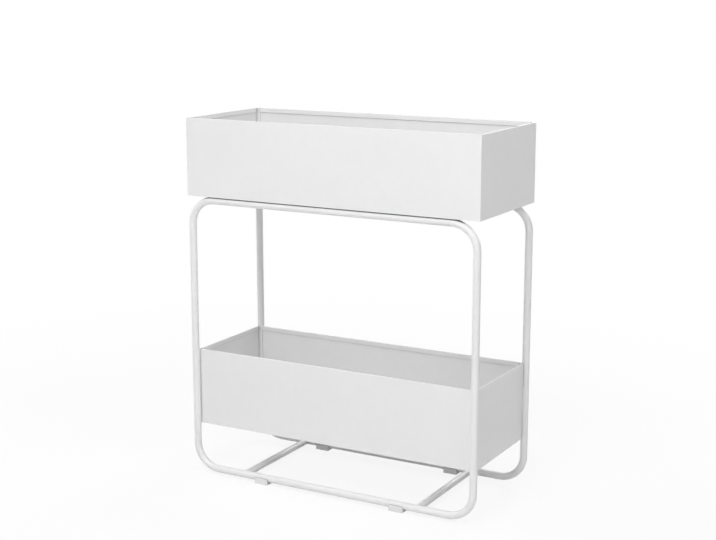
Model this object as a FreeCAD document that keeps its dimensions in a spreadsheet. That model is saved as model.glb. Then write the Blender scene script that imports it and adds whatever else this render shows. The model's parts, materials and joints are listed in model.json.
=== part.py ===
import FreeCAD, Part
import math
import os
import Sketcher
from types import SimpleNamespace

# A two-tier plant stand: two closed loops of bent round tube, crossbars between them,
# an upper sheet-metal box on top of the loops and a lower one between them.
# X runs along the boxes, Y from front to rear, Z up. The origin is the middle of the
# floor rectangle, level with the undersides of the feet. All lengths are millimetres.

DIMENSIONS = {
    # Loops of round tube
    "stand_width": 700,
    "loop_height": 628,
    "loop_proud": 1,
    "tube_diameter": 16,
    "tube_wall": 1.2,
    "bend_radius": 55,
    # Crossbars
    "crossbar_diameter": 15,
    "crossbar_wall": 1.5,
    "crossbar_offset": 215,
    # Saddle feet
    "foot_drop": 5,
    "foot_length": 33,
    "foot_wall": 2,
    "foot_offset": 168,
    "foot_round": 1.2,
    "peg_diameter": 5,
    "peg_length": 4,
    # Sheet-metal boxes
    "upper_depth": 280,
    "upper_height": 170,
    "lower_inset": 9,
    "lower_gap": 2,
    "lower_height": 172,
    "lower_rise": 112,
    "sheet_gauge": 1,
    "corner_radius": 2,
    "fold_radius": 2,
    "hem_height": 10,
    "hem_gap": 0.6,
    "hem_setback": 8,
    "rear_flange": 10,
    "flange_gap": 1,
    "floor_lip": 14,
    "lip_setback": 6,
    # Weld seams between the lower box and the upright tubes
    "weld_length": 60,
    "weld_width": 2,
    # Welded studs under the upper box, with their saddle washers and nuts
    "stud_diameter": 5,
    "stud_length": 23,
    "stud_inset": 43,
    "saddle_diameter": 11,
    "saddle_height": 3.5,
    "saddle_seat": 2,
    "nut_width": 8,
    "nut_height": 4,
    "nut_chamfer": 0.6,
    # Room round a peg or a stud, and how far a cut passes the face it opens
    "fit_clearance": 0.1,
    "overrun": 1,
}

X_AXIS = FreeCAD.Vector(1, 0, 0)
Y_AXIS = FreeCAD.Vector(0, 1, 0)
Z_AXIS = FreeCAD.Vector(0, 0, 1)
UPRIGHT = FreeCAD.Rotation()
ALONG_X = FreeCAD.Rotation(Y_AXIS, 90)
ALONG_Y = FreeCAD.Rotation(X_AXIS, -90)

# Places of a point on a sketch line or arc
START, END, CENTRE = 1, 2, 3
ORIGIN = (-1, 1)


class Size:
    """A length with its present value and its formula in the cells of the sheet."""

    def __init__(self, value, formula):
        self.value = value
        self.formula = formula

    def __add__(self, other):
        return Size(self.value + other.value, f"({self.formula} + {other.formula})")

    def __sub__(self, other):
        return Size(self.value - other.value, f"({self.formula} - {other.formula})")

    def __mul__(self, factor):
        return Size(self.value * factor, f"({self.formula} * {factor})")

    def __truediv__(self, divisor):
        return Size(self.value / divisor, f"({self.formula} / {divisor})")

    def __neg__(self):
        return Size(-self.value, f"(0 - {self.formula})")


doc = FreeCAD.newDocument("plant_stand")
sheet = doc.addObject("Spreadsheet::Sheet", "sizes")
for row, (alias, number) in enumerate(DIMENSIONS.items(), start=1):
    sheet.set(f"A{row}", alias)
    sheet.set(f"B{row}", str(number))
    sheet.setAlias(f"B{row}", alias)
doc.recompute()

size = SimpleNamespace(**{alias: Size(sheet.get(alias), f"sizes.{alias}") for alias in DIMENSIONS})
zero = Size(0, "0")
sub_parts = []

# Levels and centre lines that several sub-parts share
tube_radius = size.tube_diameter / 2
bore_radius = tube_radius - size.tube_wall
upright_x = size.stand_width / 2 - tube_radius
loop_spacing = size.upper_depth + size.loop_proud * 2 - size.tube_diameter
loop_y = loop_spacing / 2
bottom_run_z = size.foot_drop + tube_radius
top_run_z = size.foot_drop + size.loop_height - tube_radius
upper_floor_z = size.foot_drop + size.loop_height
top_crossbar_z = upper_floor_z - size.crossbar_diameter / 2
stud_y = loop_y - size.stud_inset
stud_hole = size.stud_diameter / 2 + size.fit_clearance
lower_width = size.stand_width - size.lower_inset * 2
lower_depth = loop_spacing - size.tube_diameter - size.lower_gap * 2
hem_depth = size.sheet_gauge * 2 + size.hem_gap


# Helpers for placing, sketching and joining

def place(feature, x, y, z, rotation=UPRIGHT):
    """Put a feature at a place whose three coordinates stay bound to the sheet."""
    feature.Placement = FreeCAD.Placement(FreeCAD.Vector(x.value, y.value, z.value), rotation)
    for axis, length in (("x", x), ("y", y), ("z", z)):
        feature.setExpression(f"Placement.Base.{axis}", length.formula)


def primitive(kind, name, where, rotation=UPRIGHT, **lengths):
    """A Part primitive with its sizes and place bound to the sheet."""
    feature = doc.addObject(kind, name)
    for prop, length in lengths.items():
        feature.setExpression(prop, length.formula)
    place(feature, *where, rotation)
    return feature


def fuse(name, shapes):
    feature = doc.addObject("Part::MultiFuse", name)
    feature.Shapes = shapes
    return feature


def cut(name, base, tools):
    feature = doc.addObject("Part::Cut", name)
    feature.Base = base
    feature.Tool = tools[0] if len(tools) == 1 else fuse(f"{name}_tools", tools)
    return feature


def group(name, shapes):
    feature = doc.addObject("Part::Compound", name)
    feature.Links = shapes
    return feature


def finish(feature, label):
    """Name a sub-part and list it for writing."""
    feature.Label = label
    sub_parts.append(feature)


def new_body(name):
    return doc.addObject("PartDesign::Body", name)


def origin_plane(body, role):
    return next(plane for plane in body.Origin.OriginFeatures if plane.Role == role)


def new_sketch(body, name, role):
    sketch = body.newObject("Sketcher::SketchObject", name)
    sketch.AttachmentSupport = [(origin_plane(body, role), "")]
    sketch.MapMode = "FlatFace"
    return sketch


def constrain(sketch, kind, *where):
    return sketch.addConstraint(Sketcher.Constraint(kind, *where))


def dimension(sketch, kind, *where, length):
    """A driving dimension of a sketch, bound to the sheet."""
    index = constrain(sketch, kind, *where, length.value)
    sketch.setExpression(f"Constraints[{index}]", length.formula)


def locate(sketch, kind, element, point, length):
    """Fix one coordinate of a point from the sketch's origin, on either side of it."""
    if length.value < 0:
        dimension(sketch, kind, element, point, *ORIGIN, length=-length)
    else:
        dimension(sketch, kind, *ORIGIN, element, point, length=length)


def square_outline(sketch, corners):
    """A closed outline of level and upright lines, with an arc at each corner that has a radius.

    corners holds (across, up, radius) sizes in order round the outline.
    """
    count = len(corners)
    points = [FreeCAD.Vector(across.value, up.value, 0) for across, up, _ in corners]
    lines = []
    arcs = []
    for index in range(count):
        here = points[index]
        following = points[(index + 1) % count]
        along = (following - here).normalize()
        begin = here + along * corners[index][2].value
        end = following - along * corners[(index + 1) % count][2].value
        lines.append(sketch.addGeometry(Part.LineSegment(begin, end)))
        level = abs(along.x) > abs(along.y)
        constrain(sketch, "Horizontal" if level else "Vertical", lines[-1])
        across, up, _ = corners[index]
        locate(sketch, "DistanceY" if level else "DistanceX", lines[-1], START, up if level else across)
    for index in range(count):
        radius = corners[index][2]
        before = lines[index - 1]
        after = lines[index]
        if radius.value == 0:
            constrain(sketch, "Coincident", before, END, after, START)
            continue
        arriving = (points[index] - points[index - 1]).normalize()
        leaving = (points[(index + 1) % count] - points[index]).normalize()
        centre = points[index] + (leaving - arriving) * radius.value
        turn = arriving.cross(leaving).z
        first = -leaving if turn > 0 else arriving
        begin_angle = math.atan2(first.y, first.x)
        end_angle = begin_angle + math.pi / 2
        circle = Part.Circle(centre, Z_AXIS, radius.value)
        arcs.append(sketch.addGeometry(Part.ArcOfCircle(circle, begin_angle, end_angle)))
        near, far = (START, END) if turn > 0 else (END, START)
        constrain(sketch, "Tangent", before, END, arcs[-1], near)
        constrain(sketch, "Tangent", arcs[-1], far, after, START)
        dimension(sketch, "Radius", arcs[-1], length=radius)


def rectangle(left, right, low, high, radius=zero):
    """The corners of a rectangle for square_outline, anticlockwise."""
    return [(left, low, radius), (right, low, radius), (right, high, radius), (left, high, radius)]


def centred_circle(sketch, across, up, radius):
    """A circle of a sketch, located from the origin."""
    centre = FreeCAD.Vector(across.value, up.value, 0)
    circle = sketch.addGeometry(Part.Circle(centre, Z_AXIS, radius.value))
    if across.value == 0:
        constrain(sketch, "PointOnObject", circle, CENTRE, -2)
    else:
        locate(sketch, "DistanceX", circle, CENTRE, across)
    if up.value == 0:
        constrain(sketch, "PointOnObject", circle, CENTRE, -1)
    else:
        locate(sketch, "DistanceY", circle, CENTRE, up)
    dimension(sketch, "Radius", circle, length=radius)


def pad(body, name, sketch, length, both_ways=False):
    feature = body.newObject("PartDesign::Pad", name)
    feature.Profile = sketch
    feature.SideType = "Symmetric" if both_ways else "One side"
    feature.setExpression("Length", length.formula)
    return feature


def pocket(body, name, sketch, length, along_normal=False, both_ways=False):
    """A cut against the sketch plane's normal, along it, or both ways from the plane."""
    feature = body.newObject("PartDesign::Pocket", name)
    feature.Profile = sketch
    feature.SideType = "Symmetric" if both_ways else "One side"
    feature.Reversed = along_normal
    feature.setExpression("Length", length.formula)
    return feature


def mirror_across_x(body, name, originals):
    """Repeat features on the other end of the body."""
    feature = body.newObject("PartDesign::Mirrored", name)
    feature.Originals = originals
    feature.MirrorPlane = (origin_plane(body, "YZ_Plane"), [""])
    body.Tip = feature
    return feature


# Loops

def make_loop(label, y):
    """A closed loop of bent tube in the XZ plane, with a locating hole over each foot."""
    body = new_body(f"{label}_body")
    path = new_sketch(body, f"{label}_path", "XZ_Plane")
    square_outline(path, rectangle(-upright_x, upright_x, bottom_run_z, top_run_z, size.bend_radius))
    outside = new_sketch(body, f"{label}_outside", "YZ_Plane")
    centred_circle(outside, zero, bottom_run_z, tube_radius)
    tube = body.newObject("PartDesign::AdditivePipe", f"{label}_tube")
    tube.Profile = outside
    tube.Spine = (path, [])
    inside = new_sketch(body, f"{label}_inside", "YZ_Plane")
    centred_circle(inside, zero, bottom_run_z, bore_radius)
    bore = body.newObject("PartDesign::SubtractivePipe", f"{label}_bore")
    bore.Profile = inside
    bore.Spine = (path, [])
    holes = new_sketch(body, f"{label}_holes", "XY_Plane")
    for side in (-1, 1):
        centred_circle(holes, size.foot_offset * side, zero, size.peg_diameter / 2 + size.fit_clearance)
    pocket(body, f"{label}_peg_holes", holes, bottom_run_z, along_normal=True)
    place(body, zero, y, zero)
    finish(body, label)


make_loop("front_loop", -loop_y)
make_loop("rear_loop", loop_y)


# Crossbars

def make_crossbar(label, x, z, run_z, stud_places=()):
    """A tube from loop to loop, coped at both ends to the runs that it is welded to."""
    front_end = (x, -loop_y, z)
    outside = primitive("Part::Cylinder", f"{label}_outside", front_end, ALONG_Y,
                        Radius=size.crossbar_diameter / 2, Height=loop_spacing)
    tools = [primitive("Part::Cylinder", f"{label}_inside", front_end, ALONG_Y,
                       Radius=size.crossbar_diameter / 2 - size.crossbar_wall, Height=loop_spacing)]
    for end, y in (("front", -loop_y), ("rear", loop_y)):
        where = (x - size.crossbar_diameter, y, run_z)
        tools.append(primitive("Part::Cylinder", f"{label}_{end}_cope", where, ALONG_X,
                               Radius=tube_radius, Height=size.crossbar_diameter * 2))
    for number, y in enumerate(stud_places):
        tools.append(primitive("Part::Cylinder", f"{label}_stud_hole_{number}",
                               (x, y, z - size.crossbar_diameter),
                               Radius=stud_hole, Height=size.crossbar_diameter * 2))
    finish(cut(f"{label}_tube", outside, tools), label)


for side, sign in (("left", -1), ("right", 1)):
    crossbar_x = size.crossbar_offset * sign
    make_crossbar(f"bottom_crossbar_{side}", crossbar_x, bottom_run_z, bottom_run_z)
    make_crossbar(f"top_crossbar_{side}", crossbar_x, top_crossbar_z, top_run_z, (-stud_y, stud_y))


# Sheet-metal boxes

def hem_outline(sketch, outer, inward, top):
    """A sheet's top edge turned over and down on its inner side; inward is 1 or -1."""
    def at(depth):
        return outer + depth * inward
    gauge = size.sheet_gauge
    stub = top - gauge * 2
    low = top - size.hem_height
    square_outline(sketch, [
        (at(zero), stub, zero),
        (at(zero), top, gauge),
        (at(hem_depth), top, gauge),
        (at(hem_depth), low, zero),
        (at(hem_depth - gauge), low, zero),
        (at(hem_depth - gauge), top - gauge, zero),
        (at(gauge), top - gauge, zero),
        (at(gauge), stub, zero),
    ])


def make_wrap(label, width, depth, height, base):
    """Front wall and both end walls folded from one strip, with hems and rear flanges."""
    gauge = size.sheet_gauge
    body = new_body(f"{label}_body")
    front = -depth / 2
    rear = depth / 2 - gauge
    side = width / 2
    band = new_sketch(body, f"{label}_band", "XY_Plane")
    square_outline(band, rectangle(-side, side, front, rear, size.corner_radius))
    square_outline(band, rectangle(-side + gauge, side - gauge, front + gauge, rear - gauge,
                                   size.corner_radius - gauge))
    pad(body, f"{label}_walls", band, height - gauge)
    opening = new_sketch(body, f"{label}_opening", "XZ_Plane")
    inset = side - size.rear_flange
    square_outline(opening, rectangle(-inset, inset, -size.overrun, height + size.overrun))
    pocket(body, f"{label}_rear_opening", opening, depth)
    relief = new_sketch(body, f"{label}_relief", "XZ_Plane")
    flat = side - size.corner_radius
    square_outline(relief, rectangle(-flat, flat, -size.overrun, size.fold_radius + size.fit_clearance))
    pocket(body, f"{label}_fold_relief", relief, depth)
    front_hem = new_sketch(body, f"{label}_front_hem", "YZ_Plane")
    hem_outline(front_hem, front, 1, height)
    pad(body, f"{label}_front_hem_pad", front_hem, width - size.hem_setback * 2, both_ways=True)
    end_hem = new_sketch(body, f"{label}_end_hem", "XZ_Plane")
    hem_outline(end_hem, -side, 1, height)
    end_pad = pad(body, f"{label}_end_hem_pad", end_hem, depth - size.hem_setback * 2, both_ways=True)
    mirror_across_x(body, f"{label}_end_hems", [end_pad])
    place(body, zero, zero, base)
    finish(body, label)


def make_pan(label, width, depth, height, base):
    """Front lip, floor and back wall folded from one sheet, with end lips and a hem at the back."""
    gauge = size.sheet_gauge
    body = new_body(f"{label}_body")
    lip_y = -depth / 2 + gauge
    rear = depth / 2
    length = width - size.corner_radius * 2
    floor_end = width / 2 - gauge
    fold = size.fold_radius
    profile = new_sketch(body, f"{label}_profile", "YZ_Plane")
    square_outline(profile, [
        (lip_y, size.floor_lip, zero),
        (lip_y, zero, fold),
        (rear, zero, fold),
        (rear, height - gauge, zero),
        (rear - gauge, height - gauge, zero),
        (rear - gauge, gauge, fold - gauge),
        (lip_y + gauge, gauge, fold - gauge),
        (lip_y + gauge, size.floor_lip, zero),
    ])
    pad(body, f"{label}_fold", profile, length, both_ways=True)
    lip_front = lip_y + size.lip_setback
    lip_rear = rear - size.lip_setback
    tab = new_sketch(body, f"{label}_tab", "XY_Plane")
    square_outline(tab, rectangle(length / 2 - gauge, floor_end, lip_front, lip_rear))
    tab_pad = pad(body, f"{label}_tab_pad", tab, gauge)
    lip = new_sketch(body, f"{label}_lip", "XY_Plane")
    square_outline(lip, rectangle(floor_end - gauge, floor_end, lip_front, lip_rear))
    lip_pad = pad(body, f"{label}_lip_pad", lip, size.floor_lip)
    mirror_across_x(body, f"{label}_end_lips", [tab_pad, lip_pad])
    hem = new_sketch(body, f"{label}_hem", "YZ_Plane")
    hem_outline(hem, rear, -1, height)
    hem_length = width - (size.rear_flange + size.flange_gap) * 2
    pad(body, f"{label}_hem_pad", hem, hem_length, both_ways=True)
    place(body, zero, zero, base)
    finish(body, label)


make_wrap("upper_box_wrap", size.stand_width, size.upper_depth, size.upper_height, upper_floor_z)
make_pan("upper_box_pan", size.stand_width, size.upper_depth, size.upper_height, upper_floor_z)
make_wrap("lower_box_wrap", lower_width, lower_depth, size.lower_height, size.lower_rise)
make_pan("lower_box_pan", lower_width, lower_depth, size.lower_height, size.lower_rise)


# Weld seams from the lower box's corners to the upright tubes

def make_weld(label, x_sign, y_sign):
    """A seam that fills the space between a folded corner of the box and the tube beside it."""
    wall = lower_depth / 2 - (size.sheet_gauge if y_sign > 0 else zero)
    fold_x = lower_width / 2 - size.corner_radius
    fold_y = wall - size.corner_radius
    low_x = fold_x if x_sign > 0 else -fold_x - size.weld_width
    low_y = fold_y if y_sign > 0 else -loop_y
    low_z = size.lower_rise + size.lower_height / 2 - size.weld_length / 2
    bead = primitive("Part::Box", f"{label}_bead", (low_x, low_y, low_z),
                     Length=size.weld_width, Width=loop_y - fold_y, Height=size.weld_length)
    tools = []
    for tool, x, y, radius in (("tube", upright_x, loop_y, tube_radius),
                               ("fold", fold_x, fold_y, size.corner_radius)):
        tools.append(primitive("Part::Cylinder", f"{label}_{tool}",
                               (x * x_sign, y * y_sign, low_z - size.overrun),
                               Radius=radius, Height=size.weld_length + size.overrun * 2))
    finish(cut(f"{label}_seam", bead, tools), label)


# Saddle feet

def make_foot(label, x, y):
    """A saddle under the bottom run: flat below, hollowed to the tube, with a locating peg."""
    body = new_body(f"{label}_body")
    half_length = size.foot_length / 2
    half_width = tube_radius + size.foot_wall
    base = new_sketch(body, f"{label}_base", "XY_Plane")
    square_outline(base, rectangle(-half_length, half_length, -half_width, half_width, size.foot_round))
    pad(body, f"{label}_block", base, bottom_run_z)
    saddle = new_sketch(body, f"{label}_saddle", "YZ_Plane")
    centred_circle(saddle, zero, bottom_run_z, tube_radius)
    pocket(body, f"{label}_hollow", saddle, size.foot_length + size.overrun * 2, both_ways=True)
    peg = new_sketch(body, f"{label}_peg", "XY_Plane")
    centred_circle(peg, zero, zero, size.peg_diameter / 2)
    pad(body, f"{label}_peg_pad", peg, size.foot_drop + size.peg_length)
    place(body, x, y, zero)
    finish(body, label)


for end, y_sign in (("front", -1), ("rear", 1)):
    for side, x_sign in (("left", -1), ("right", 1)):
        make_weld(f"weld_seam_{end}_{side}", x_sign, y_sign)
        make_foot(f"foot_{end}_{side}", size.foot_offset * x_sign, loop_y * y_sign)


# Welded studs, saddle washers and nuts that hold the upper box to the top crossbars

def make_stud(name, x, y):
    """A stud welded under the box's floor, long enough to pass the crossbar and take a nut."""
    return primitive("Part::Cylinder", name, (x, y, upper_floor_z - size.stud_length),
                     Radius=size.stud_diameter / 2, Height=size.stud_length)


def make_saddle(name, x, y):
    """A round washer, flat below and hollowed above to the crossbar's underside."""
    low_z = upper_floor_z - size.crossbar_diameter - size.saddle_seat
    disc = primitive("Part::Cylinder", f"{name}_disc", (x, y, low_z),
                     Radius=size.saddle_diameter / 2, Height=size.saddle_height)
    hole = primitive("Part::Cylinder", f"{name}_hole", (x, y, low_z),
                     Radius=stud_hole, Height=size.saddle_height)
    hollow = primitive("Part::Cylinder", f"{name}_hollow",
                       (x, y - size.saddle_diameter, top_crossbar_z), ALONG_Y,
                       Radius=size.crossbar_diameter / 2, Height=size.saddle_diameter * 2)
    return cut(f"{name}_body", disc, [hole, hollow])


def make_nut(name, x, y):
    """A hexagon nut whose lower corners are chamfered, on the saddle washer's flat side."""
    high_z = upper_floor_z - size.crossbar_diameter - size.saddle_seat
    low_z = high_z - size.nut_height
    corner = size.nut_width / math.sqrt(3)
    hexagon = primitive("Part::Prism", f"{name}_hexagon", (x, y, low_z),
                        Circumradius=corner, Height=size.nut_height)
    cone = primitive("Part::Cone", f"{name}_cone", (x, y, low_z),
                     Radius1=corner - size.nut_chamfer,
                     Radius2=corner - size.nut_chamfer + size.nut_height, Height=size.nut_height)
    blank = doc.addObject("Part::Common", f"{name}_blank")
    blank.Base = hexagon
    blank.Tool = cone
    bore = primitive("Part::Cylinder", f"{name}_bore", (x, y, low_z),
                     Radius=stud_hole, Height=size.nut_height)
    return cut(f"{name}_body", blank, [bore])


for label, make in (("upper_box_studs", make_stud), ("saddle_washers", make_saddle), ("stud_nuts", make_nut)):
    places = [(x, y) for x in (-size.crossbar_offset, size.crossbar_offset) for y in (-stud_y, stud_y)]
    copies = [make(f"{label}_{number}", x, y) for number, (x, y) in enumerate(places)]
    finish(group(f"{label}_group", copies), label)


# Build, check and write

doc.recompute()
for feature in doc.Objects:
    if "Invalid" in feature.State or "Error" in feature.State:
        raise RuntimeError(f"{feature.Name} failed: {feature.State}")
for feature in sub_parts:
    if feature.Shape.isNull() or not feature.Shape.isValid():
        raise RuntimeError(f"{feature.Label} has no valid shape")

os.makedirs("parts", exist_ok=True)
for feature in sub_parts:
    feature.Shape.exportStep(f"parts/{feature.Label}.step")
    print(feature.Label, len(feature.Shape.Solids), round(feature.Shape.Volume))
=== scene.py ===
"""The looks of a two-tier plant stand: finishes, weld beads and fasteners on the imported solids,
a plain studio and the camera. Lengths are metres, in the frame of the solids."""
import json
import math

import bmesh
import bpy
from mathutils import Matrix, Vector


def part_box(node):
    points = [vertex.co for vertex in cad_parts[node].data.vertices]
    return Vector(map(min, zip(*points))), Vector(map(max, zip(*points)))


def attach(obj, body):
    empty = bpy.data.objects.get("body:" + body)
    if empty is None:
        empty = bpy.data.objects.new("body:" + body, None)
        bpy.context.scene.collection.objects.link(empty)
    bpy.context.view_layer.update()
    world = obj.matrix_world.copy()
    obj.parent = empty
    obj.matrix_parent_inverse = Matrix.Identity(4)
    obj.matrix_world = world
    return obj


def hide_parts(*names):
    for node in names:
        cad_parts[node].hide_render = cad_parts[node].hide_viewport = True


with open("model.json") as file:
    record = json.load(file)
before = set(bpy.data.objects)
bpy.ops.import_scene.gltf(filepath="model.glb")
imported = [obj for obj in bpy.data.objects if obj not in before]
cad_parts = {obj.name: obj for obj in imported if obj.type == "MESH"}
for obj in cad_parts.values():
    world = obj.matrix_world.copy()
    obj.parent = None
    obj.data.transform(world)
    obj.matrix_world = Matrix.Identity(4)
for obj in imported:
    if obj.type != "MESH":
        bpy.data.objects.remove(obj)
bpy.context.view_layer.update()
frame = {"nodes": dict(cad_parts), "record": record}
nodes = frame["nodes"]
MM = 0.001

# Sizes read from the solids
loop_low, loop_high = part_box("front_loop")
rear_low, rear_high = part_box("rear_loop")
lower_low, lower_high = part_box("lower_box_wrap")
TUBE_RADIUS = (loop_high.y - loop_low.y) / 2
BOTTOM_RUN_Z = loop_low.z + TUBE_RADIUS
TOP_RUN_Z = loop_high.z - TUBE_RADIUS
RUN_Y = {"front": (loop_low.y + loop_high.y) / 2, "rear": (rear_low.y + rear_high.y) / 2}


# Materials: noise scales are per metre, ranges are low and high

# Most of a noise texture's values lie between these
NOISE_LOW = 0.3
NOISE_HIGH = 0.7
NOISE_DETAIL = 3.0
FINE_DETAIL = 2.0


def new_material(name):
    """A node material with its shader and object coordinates."""
    material = bpy.data.materials.new(name)
    material.use_nodes = True
    tree = material.node_tree
    shader = tree.nodes["Principled BSDF"]
    coordinates = tree.nodes.new("ShaderNodeTexCoord")
    return material, tree, shader, coordinates.outputs["Object"]


def noise(tree, vector, scale, detail=NOISE_DETAIL):
    node = tree.nodes.new("ShaderNodeTexNoise")
    node.inputs["Scale"].default_value = scale
    node.inputs["Detail"].default_value = detail
    tree.links.new(vector, node.inputs["Vector"])
    return node.outputs["Fac"]


def map_range(tree, value, low, high, start=NOISE_LOW, stop=NOISE_HIGH):
    """A value between start and stop spread over low to high."""
    node = tree.nodes.new("ShaderNodeMapRange")
    tree.links.new(value, node.inputs["Value"])
    for socket, number in (("From Min", start), ("From Max", stop), ("To Min", low), ("To Max", high)):
        node.inputs[socket].default_value = number
    return node.outputs["Result"]


def math_node(tree, operation, first, second=0.0):
    node = tree.nodes.new("ShaderNodeMath")
    node.operation = operation
    for index, item in enumerate((first, second)):
        if isinstance(item, (int, float)):
            node.inputs[index].default_value = item
        else:
            tree.links.new(item, node.inputs[index])
    return node.outputs[0]


def shade(tree, colour, factor):
    """A colour times a factor that varies over the surface."""
    node = tree.nodes.new("ShaderNodeVectorMath")
    node.operation = "SCALE"
    node.inputs[0].default_value = colour
    tree.links.new(factor, node.inputs["Scale"])
    return node.outputs["Vector"]


def bump(tree, height, distance, strength, under=None):
    node = tree.nodes.new("ShaderNodeBump")
    node.inputs["Distance"].default_value = distance
    node.inputs["Strength"].default_value = strength
    tree.links.new(height, node.inputs["Height"])
    if under is not None:
        tree.links.new(under, node.inputs["Normal"])
    return node.outputs["Normal"]


# Painted shade: the coat's colour is darkened where little of a half-sphere within this reach is open, in
# seams, hems and contact lines
PAINTED_SHADE_REACH = 8.0 * MM
# The share of a half-sphere left open where the painted shade is full, and where it begins
SEAM_CLOSED = 0.3
SEAM_OPEN = 0.95
# How dark the painted shade gets on the tubes and on the sheet
TUBE_PAINTED_SHADE = 0.1
SHEET_PAINTED_SHADE = 0.4
# The lower box's front and rear, and the uprights beside it, take no painted seam shade: in the photograph
# the grooves there are pale
GROOVE_Y = -lower_low.y - 0.3 * MM
GROOVE_Z = (lower_low.z + lower_high.z) / 2
GROOVE_HALF_HEIGHT = (lower_high.z - lower_low.z) / 2 + 5.0 * MM


def in_groove(tree, place):
    """One on the lower box's front and rear and on the uprights beside it, where the painted seam shade is
    left off, else zero.
    """
    parts = tree.nodes.new("ShaderNodeSeparateXYZ")
    tree.links.new(place, parts.inputs["Vector"])
    sideways = math_node(tree, "ABSOLUTE", parts.outputs["Y"])
    far_out = math_node(tree, "GREATER_THAN", sideways, GROOVE_Y)
    from_middle = math_node(tree, "ABSOLUTE", math_node(tree, "SUBTRACT", parts.outputs["Z"], GROOVE_Z))
    beside = math_node(tree, "LESS_THAN", from_middle, GROOVE_HALF_HEIGHT)
    return math_node(tree, "MULTIPLY", far_out, beside)


def painted_seam_shade(tree, place, darkest):
    """Painted shade: one on open surfaces, falling in seams, hems and contact lines, which the photograph
    shows dark.
    """
    node = tree.nodes.new("ShaderNodeAmbientOcclusion")
    node.inputs["Distance"].default_value = PAINTED_SHADE_REACH
    shaded = map_range(tree, node.outputs["AO"], darkest, 1.0, SEAM_CLOSED, SEAM_OPEN)
    return math_node(tree, "MAXIMUM", shaded, in_groove(tree, place))


CLOUD_SCALE = 6.0
CLOUD_RANGE = (0.985, 1.01)
MOTTLE_SCALE = 70.0
MOTTLE_RANGE = (0.992, 1.006)
GLOSS_SCALE = 25.0
GLOSS_RANGE = (0.38, 0.47)
WAVE_DETAIL = 1.0
WAVE_STRENGTH = 0.6
PEEL_SCALE = 620.0
PEEL_DEPTH = 0.03 * MM
PEEL_STRENGTH = 0.55
GRAIN_SCALE = 3200.0
GRAIN_DEPTH = 0.01 * MM
GRAIN_STRENGTH = 0.35
COAT_IOR = 1.48
COAT_WEIGHT = 0.12
COAT_ROUGHNESS = 0.3


def powder_coat(name, colour, panel_scale, panel_depth, painted_shade_darkest):
    """Satin powder coat: orange peel, a fine grain, faint cloudiness, the sheet's slight waviness, and
    painted shade in seams, hems and contact lines.
    """
    material, tree, shader, place = new_material(name)
    cloud = map_range(tree, noise(tree, place, CLOUD_SCALE), *CLOUD_RANGE)
    mottle = map_range(tree, noise(tree, place, MOTTLE_SCALE), *MOTTLE_RANGE)
    uneven = math_node(tree, "MULTIPLY", cloud, mottle)
    # The colour's factor holds the random cloudiness and the painted seam shade
    factor = math_node(tree, "MULTIPLY", uneven, painted_seam_shade(tree, place, painted_shade_darkest))
    tree.links.new(shade(tree, colour, factor), shader.inputs["Base Color"])
    gloss = noise(tree, place, GLOSS_SCALE)
    tree.links.new(map_range(tree, gloss, *GLOSS_RANGE), shader.inputs["Roughness"])
    wave = bump(tree, noise(tree, place, panel_scale, WAVE_DETAIL), panel_depth, WAVE_STRENGTH)
    peel = bump(tree, noise(tree, place, PEEL_SCALE, FINE_DETAIL), PEEL_DEPTH, PEEL_STRENGTH, wave)
    grain = bump(tree, noise(tree, place, GRAIN_SCALE, FINE_DETAIL), GRAIN_DEPTH, GRAIN_STRENGTH, peel)
    tree.links.new(grain, shader.inputs["Normal"])
    shader.inputs["IOR"].default_value = COAT_IOR
    shader.inputs["Coat Weight"].default_value = COAT_WEIGHT
    shader.inputs["Coat Roughness"].default_value = COAT_ROUGHNESS
    return material


PLASTIC_CLOUD_SCALE = 45.0
PLASTIC_CLOUD_RANGE = (0.96, 1.01)
RUB_SCALE = 160.0
RUB_RANGE = (0.46, 0.6)
MOULD_SCALE = 2600.0
MOULD_DEPTH = 0.02 * MM
MOULD_STRENGTH = 0.5
PLASTIC_IOR = 1.46


def moulded_plastic(name, colour):
    """White moulded plastic with a fine spark-eroded grain and faint rubbing marks."""
    material, tree, shader, place = new_material(name)
    cloud = map_range(tree, noise(tree, place, PLASTIC_CLOUD_SCALE), *PLASTIC_CLOUD_RANGE)
    tree.links.new(shade(tree, colour, cloud), shader.inputs["Base Color"])
    tree.links.new(map_range(tree, noise(tree, place, RUB_SCALE), *RUB_RANGE), shader.inputs["Roughness"])
    grain = bump(tree, noise(tree, place, MOULD_SCALE), MOULD_DEPTH, MOULD_STRENGTH)
    tree.links.new(grain, shader.inputs["Normal"])
    shader.inputs["IOR"].default_value = PLASTIC_IOR
    return material


FILM_SCALE = 420.0
FILM_DETAIL = 4.0
FILM_RANGE = (0.86, 1.04)
POLISH_SCALE = 900.0
POLISH_RANGE = (0.22, 0.4)
MARK_SCALE = 5000.0
MARK_DEPTH = 0.006 * MM
MARK_STRENGTH = 0.5


def zinc_plate(name, colour):
    """Bright zinc on steel: a cloudy passivated film, an uneven polish and fine marks."""
    material, tree, shader, place = new_material(name)
    film = map_range(tree, noise(tree, place, FILM_SCALE, FILM_DETAIL), *FILM_RANGE)
    tree.links.new(shade(tree, colour, film), shader.inputs["Base Color"])
    shader.inputs["Metallic"].default_value = 1.0
    polish = map_range(tree, noise(tree, place, POLISH_SCALE), *POLISH_RANGE)
    tree.links.new(polish, shader.inputs["Roughness"])
    marks = bump(tree, noise(tree, place, MARK_SCALE, FINE_DETAIL), MARK_DEPTH, MARK_STRENGTH)
    tree.links.new(marks, shader.inputs["Normal"])
    return material


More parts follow.
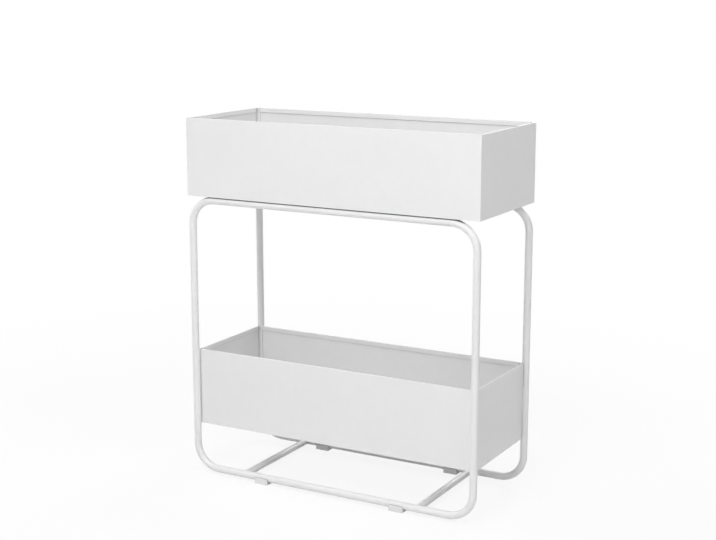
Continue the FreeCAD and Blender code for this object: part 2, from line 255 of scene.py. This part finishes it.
WHITE_COAT = (0.80, 0.80, 0.80)
WELD_COAT = (0.78, 0.78, 0.78)
FOOT_WHITE = (0.78, 0.78, 0.78)
ZINC = (0.66, 0.67, 0.68)
TUBE_WAVE_SCALE = 9.0
TUBE_WAVE_DEPTH = 0.02 * MM
SHEET_WAVE_SCALE = 5.0
SHEET_WAVE_DEPTH = 0.5 * MM
WELD_WAVE_SCALE = 260.0
WELD_WAVE_DEPTH = 0.12 * MM
MATERIALS = {
    "coated_tube": powder_coat("white_coat_tube", WHITE_COAT, TUBE_WAVE_SCALE, TUBE_WAVE_DEPTH,
                               TUBE_PAINTED_SHADE),
    "coated_sheet": powder_coat("white_coat_sheet", WHITE_COAT, SHEET_WAVE_SCALE, SHEET_WAVE_DEPTH,
                                SHEET_PAINTED_SHADE),
    "coated_weld": powder_coat("white_coat_weld", WELD_COAT, WELD_WAVE_SCALE, WELD_WAVE_DEPTH,
                               SHEET_PAINTED_SHADE),
    "foot_plastic": moulded_plastic("white_foot_plastic", FOOT_WHITE),
    "zinc_steel": zinc_plate("bright_zinc", ZINC),
}
for subpart in frame["record"]["subparts"]:
    nodes[subpart["node"]].material_slots[0].material = MATERIALS[subpart["material_slot"]]


# Pieces that ride on the part

def add_piece(name, mesh, slot):
    """A new piece of the part, finished like the slot that it names."""
    piece = bpy.data.objects.new(name, mesh)
    bpy.context.scene.collection.objects.link(piece)
    mesh.materials.append(MATERIALS[slot])
    mesh.shade_smooth()
    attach(piece, "root")
    return piece


def lofted_mesh(name, lofts, closed=False):
    """One mesh of skins over rows of sections with equal counts of points, capped unless they close."""
    mesh = bpy.data.meshes.new(name)
    build = bmesh.new()
    for sections in lofts:
        rings = [[build.verts.new(point) for point in section] for section in sections]
        for here, following in zip(rings, rings[1:] + rings[:1] if closed else rings[1:]):
            for index in range(len(here)):
                after = (index + 1) % len(here)
                build.faces.new((here[index], following[index], following[after], here[after]))
        if not closed:
            build.faces.new(rings[0])
            build.faces.new(rings[-1][::-1])
    bmesh.ops.recalc_face_normals(build, faces=build.faces)
    build.to_mesh(mesh)
    build.free()
    return mesh


# Weld beads where the crossbars meet the runs

BEAD_LEG = 2.4 * MM
BEAD_SINK = 0.15 * MM
BEAD_CROWN = 0.25 * MM
RIPPLE_PITCH = 1.6 * MM
RIPPLE_HEIGHT = 0.12 * MM
BEAD_STEPS = 96
BEAD_POINTS = 6
# How fast an open bead swells from its thin ends, and how thin they are
END_SWELL = 12.0
END_LEAST = 0.1
# A top crossbar's bead leaves the box's floor free: it runs round the sides and the underside
FULL_TURN = (0.0, 360.0)
UNDER_TURN = (150.0, 390.0)


def bead_section(angle, ripple, leg, crossbar, run, inward):
    """Points of one closed section of a bead: along the crown from the crossbar to the run, then the root.

    angle goes round the crossbar, inward is 1 where the crossbar lies towards +Y from the run.
    """
    radius, centre_x, centre_z = crossbar
    run_y, run_z = run
    out = Vector((math.cos(angle), 0, math.sin(angle)))
    meet_z = centre_z + radius * out.z
    meet_angle = math.asin((meet_z - run_z) / TUBE_RADIUS)

    def on_run(distance, depth):
        turn = meet_angle + distance * out.z / TUBE_RADIUS
        reach = TUBE_RADIUS - depth
        return Vector((centre_x + (radius + distance) * out.x,
                       run_y + inward * reach * math.cos(turn), run_z + reach * math.sin(turn)))

    root = on_run(0.0, BEAD_SINK)
    on_bar = on_run(0.0, 0.0) + Vector((0, inward * leg, 0)) - out * BEAD_SINK
    far = on_run(leg, BEAD_SINK)
    crown = (on_bar + far) / 2
    outward = (crown - root).normalized()
    control = crown + outward * (BEAD_CROWN + ripple)
    points = []
    for step in range(BEAD_POINTS):
        share = step / (BEAD_POINTS - 1)
        points.append(on_bar * (1 - share) ** 2 + control * 2 * share * (1 - share) + far * share ** 2)
    points.append(root - outward * BEAD_SINK)
    return points


def crossbar_bead(name, crossbar, run, inward, turn):
    """A rippled fillet bead round the end of a crossbar, whole or open at the top with thin ends."""
    first, last = (math.radians(degrees) for degrees in turn)
    closed = math.isclose(last - first, math.tau)
    count = BEAD_STEPS if closed else BEAD_STEPS + 1
    ripples = round((last - first) * (crossbar[0] + BEAD_LEG) / RIPPLE_PITCH)
    sections = []
    for step in range(count):
        share = step / BEAD_STEPS
        wave = abs(math.sin(math.pi * ripples * share))
        ends = 1.0 if closed else min(1.0, END_SWELL * share * (1 - share) + END_LEAST)
        sections.append(bead_section(first + (last - first) * share, RIPPLE_HEIGHT * wave * ends,
                                     BEAD_LEG * ends, crossbar, run, inward))
    return add_piece(name, lofted_mesh(name, [sections], closed), "coated_weld")


for level, run_z, turn in (("bottom", BOTTOM_RUN_Z, FULL_TURN), ("top", TOP_RUN_Z, UNDER_TURN)):
    for side in ("left", "right"):
        low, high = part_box(f"{level}_crossbar_{side}")
        crossbar = ((high.x - low.x) / 2, (low.x + high.x) / 2, (low.z + high.z) / 2)
        for end, inward in (("front", 1), ("rear", -1)):
            crossbar_bead(f"weld_{level}_{side}_{end}", crossbar, (RUN_Y[end], run_z), inward, turn)


# Weld seams in the grooves between the lower box's corners and the uprights

SEAM_CROWN = 0.45 * MM
SEAM_RIPPLE = 0.25 * MM
SEAM_END = 3.0 * MM
SEAM_POINTS = 7
STEPS_PER_RIPPLE = 5
RIPPLE_BOW = 0.45
UPRIGHT_X = {"left": loop_low.x + TUBE_RADIUS, "right": loop_high.x - TUBE_RADIUS}


def corner_seam(name, node, upright, inward):
    """A rippled seam in place of the plain one: its crown bows out between the upright and the fold.

    upright is the centre of the tube, inward is 1 where the box lies towards +Y from it.
    """
    low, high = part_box(node)
    outward = math.copysign(1.0, upright[0])
    outer_x, inner_x = (high.x, low.x) if outward > 0 else (low.x, high.x)
    fold_y = high.y if inward > 0 else low.y
    wall_y = fold_y - inward * (high.x - low.x)

    def tube_y(x):
        return upright[1] + inward * (math.sqrt(TUBE_RADIUS ** 2 - (x - upright[0]) ** 2) - BEAD_SINK)

    length = high.z - low.z
    ripples = round(length / RIPPLE_PITCH)
    steps = ripples * STEPS_PER_RIPPLE
    sections = []
    for step in range(steps + 1):
        share = step / steps
        z = low.z + length * share
        ends = math.sqrt(min(1.0, (z - low.z) / SEAM_END, (high.z - z) / SEAM_END))
        section = []
        for point in range(SEAM_POINTS):
            across = point / (SEAM_POINTS - 1)
            bulge = 4 * across * (1 - across)
            wave = abs(math.sin(math.pi * (ripples * share + RIPPLE_BOW * bulge)))
            lift = (SEAM_CROWN + SEAM_RIPPLE * wave) * bulge * ends - BEAD_SINK * (1 - bulge)
            y = tube_y(outer_x) * (1 - across) + (fold_y + inward * BEAD_SINK) * across
            section.append((outer_x + outward * lift, y, z))
        section.append((inner_x, wall_y + inward * BEAD_SINK, z))
        section.append((inner_x, tube_y(inner_x), z))
        sections.append(section)
    seam = add_piece(name, lofted_mesh(name, [sections]), "coated_weld")
    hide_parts(node)


for end, inward in (("front", 1), ("rear", -1)):
    for side, upright_x in UPRIGHT_X.items():
        corner_seam(f"seam_{end}_{side}", f"weld_seam_{end}_{side}", (upright_x, RUN_Y[end]), inward)


# Studs with rolled threads on the ends that take the nuts

THREAD_PITCH = 0.8 * MM
THREAD_DEPTH = 0.4 * MM
THREAD_LENGTH = 8.0 * MM
STEPS_PER_TURN = 6
STUD_SIDES = 24
STUD_CHAMFER = 0.5 * MM


def stud_sections(x, y, radius, low_z, high_z):
    """Rings from the chamfered end up the thread, which runs out into the plain shank."""
    steps = round(THREAD_LENGTH / THREAD_PITCH) * STEPS_PER_TURN
    heights = [THREAD_LENGTH * step / steps for step in range(steps + 1)] + [high_z - low_z]
    sections = []
    for height in heights:
        depth = THREAD_DEPTH * min(1.0, max(0.0, (THREAD_LENGTH - height) / THREAD_PITCH))
        section = []
        for corner in range(STUD_SIDES):
            turn = corner / STUD_SIDES
            groove = 0.5 + 0.5 * math.cos(math.tau * (height / THREAD_PITCH - turn))
            reach = min(radius - depth * groove, radius - STUD_CHAMFER + height)
            section.append((x + reach * math.cos(math.tau * turn), y + reach * math.sin(math.tau * turn),
                            low_z + height))
        sections.append(section)
    return sections


def threaded_studs():
    """The four studs, under the upper box's floor and through the top crossbars."""
    low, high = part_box("upper_box_studs")
    bar_low, bar_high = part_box("top_crossbar_right")
    stud_x = (bar_low.x + bar_high.x) / 2
    radius = high.x - stud_x
    stud_y = high.y - radius
    lofts = [stud_sections(x, y, radius, low.z, high.z)
             for x in (-stud_x, stud_x) for y in (-stud_y, stud_y)]
    studs = add_piece("threaded_studs", lofted_mesh("threaded_studs", lofts), "zinc_steel")
    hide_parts("upper_box_studs")


threaded_studs()


# Studio: a pale floor that fades into white, a white surround and soft lamps

FLOOR_SIZE = 14.0
FLOOR_DROP = 0.2 * MM
FADE_START = 0.7
FADE_END = 1.9
NEAR_WHITE = 0.86
FLOOR_COLOUR = (0.86, 0.86, 0.86, 1.0)
FLOOR_GRAIN_SCALE = 220.0
FLOOR_ROUGHNESS = (0.85, 0.95)
FLOOR_SPECULAR = 0.1


def seen_directly(tree):
    """One where a ray comes from the camera or through a mirror or glass, else zero."""
    path = tree.nodes.new("ShaderNodeLightPath")
    seen = math_node(tree, "MAXIMUM", path.outputs["Is Camera Ray"], path.outputs["Is Glossy Ray"])
    return math_node(tree, "MAXIMUM", seen, path.outputs["Is Transmission Ray"])


def floor_material():
    """Pale matt paper: it takes the shadow near the object and is plain white further out."""
    material, tree, shader, place = new_material("pale_floor")
    shader.inputs["Base Color"].default_value = FLOOR_COLOUR
    grain = noise(tree, place, FLOOR_GRAIN_SCALE)
    tree.links.new(map_range(tree, grain, *FLOOR_ROUGHNESS), shader.inputs["Roughness"])
    shader.inputs["Specular IOR Level"].default_value = FLOOR_SPECULAR
    seen = seen_directly(tree)
    distance = tree.nodes.new("ShaderNodeVectorMath")
    distance.operation = "LENGTH"
    tree.links.new(place, distance.inputs[0])
    fade = map_range(tree, distance.outputs["Value"], NEAR_WHITE, 1.0, FADE_START, FADE_END)
    white = tree.nodes.new("ShaderNodeEmission")
    mix = tree.nodes.new("ShaderNodeMixShader")
    tree.links.new(math_node(tree, "MULTIPLY", fade, seen), mix.inputs["Fac"])
    tree.links.new(shader.outputs["BSDF"], mix.inputs[1])
    tree.links.new(white.outputs["Emission"], mix.inputs[2])
    tree.links.new(mix.outputs["Shader"], tree.nodes["Material Output"].inputs["Surface"])
    return material


def add_floor():
    mesh = bpy.data.meshes.new("floor")
    half = FLOOR_SIZE / 2
    corners = [(-half, -half, -FLOOR_DROP), (half, -half, -FLOOR_DROP),
               (half, half, -FLOOR_DROP), (-half, half, -FLOOR_DROP)]
    mesh.from_pydata(corners, [], [(0, 1, 2, 3)])
    mesh.materials.append(floor_material())
    floor = bpy.data.objects.new("floor", mesh)
    bpy.context.scene.collection.objects.link(floor)


def add_world(level):
    """An even surround that lights the object and is seen as white."""
    world = bpy.data.worlds.new("surround")
    world.use_nodes = True
    bpy.context.scene.world = world
    tree = world.node_tree
    background = tree.nodes["Background"]
    background.inputs["Color"].default_value = (1.0, 1.0, 1.0, 1.0)
    strength = map_range(tree, seen_directly(tree), level, 1.0, 0.0, 1.0)
    tree.links.new(strength, background.inputs["Strength"])


def add_lamp(name, place, aim, size, power):
    """A square soft box that faces a point."""
    light = bpy.data.lights.new(name, "AREA")
    light.shape = "SQUARE"
    light.size = size
    light.energy = power
    lamp = bpy.data.objects.new(name, light)
    lamp.location = place
    lamp.rotation_euler = (Vector(aim) - Vector(place)).to_track_quat("-Z", "Y").to_euler()
    bpy.context.scene.collection.objects.link(lamp)


AIM = (0.0, 0.0, 0.4)
LAMP_DISTANCE = 3.2
LAMP_SIZE = 1.5
WORLD_LEVEL = 0.05
# Degrees to the right of straight ahead of the stand, degrees up, watts
LAMPS = {
    "key": (6.0, 49.0, 48.0),
    "over_left": (-84.0, 44.0, 38.0),
    "over_right": (76.0, 38.0, 29.0),
    "low_front": (8.0, 15.0, 22.0),
    "rear": (172.0, 30.0, 48.0),
}


def lamp_place(azimuth, elevation):
    """A place at the lamps' distance from the point that they face."""
    turn = math.radians(azimuth)
    rise = math.radians(elevation)
    across = LAMP_DISTANCE * math.cos(rise)
    offset = (across * math.sin(turn), -across * math.cos(turn), LAMP_DISTANCE * math.sin(rise))
    return Vector(AIM) + Vector(offset)


add_floor()
add_world(WORLD_LEVEL)
for name, (azimuth, elevation, power) in LAMPS.items():
    add_lamp(name, lamp_place(azimuth, elevation), AIM, LAMP_SIZE, power)


# Camera, placed by a fit to the photograph's straight edges

CAMERA_PLACE = (1.4530, -2.6038, 1.0949)
CAMERA_YAW = 29.18
CAMERA_PITCH = 11.72
CAMERA_LENS = 70.35
SENSOR_WIDTH = 36.0

camera_data = bpy.data.cameras.new("camera")
camera_data.lens = CAMERA_LENS
camera_data.sensor_width = SENSOR_WIDTH
camera = bpy.data.objects.new("camera", camera_data)
camera.location = CAMERA_PLACE
camera.rotation_euler = (math.radians(90 - CAMERA_PITCH), 0.0, math.radians(CAMERA_YAW))
bpy.context.scene.collection.objects.link(camera)
bpy.context.scene.camera = camera
bpy.context.scene.view_settings.view_transform = "Standard"
